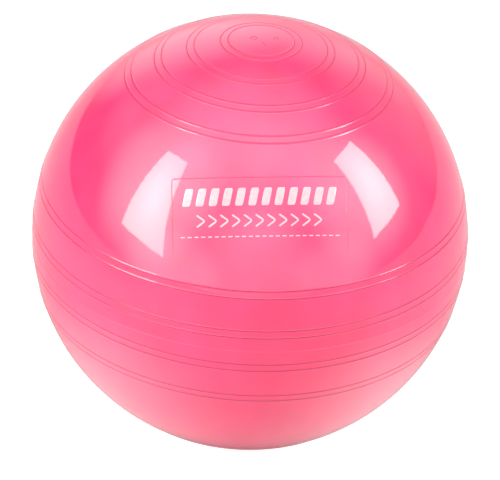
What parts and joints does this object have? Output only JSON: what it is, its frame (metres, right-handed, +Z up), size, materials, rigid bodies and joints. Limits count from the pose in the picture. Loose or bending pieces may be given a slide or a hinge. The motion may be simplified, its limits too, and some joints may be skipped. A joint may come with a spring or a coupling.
{
  "type": "exercise ball",
  "caption": "Inflated ribbed exercise ball, a thin soft vinyl skin filled with air, with a bonded valve seat and a pull-out plug.",
  "frame": {"origin": "middle of the small flat that the ball's own weight makes where it stands on the floor, straight under its centre", "axes": "+Z up along the axis that the grip ribs run round, -Y the printed front, +Y the side with the valve, +X to the right as seen from the front"},
  "size_m": [0.5004, 0.5004, 0.4987],
  "materials": {
    "skin_vinyl": "gloss",
    "seat_vinyl": "satin",
    "plug_plastic": "satin"
  },
  "bodies": {
    "ball": {"ball_skin": "skin_vinyl", "valve_seat": "seat_vinyl"},
    "plug": {"valve_plug": "plug_plastic"}
  },
  "joints": [
    {"name": "plug_pull", "type": "slide", "parent": "ball", "child": "plug", "axis": [0, 0.829, 0.5592], "range_m": [0, 0.06]}
  ]
}
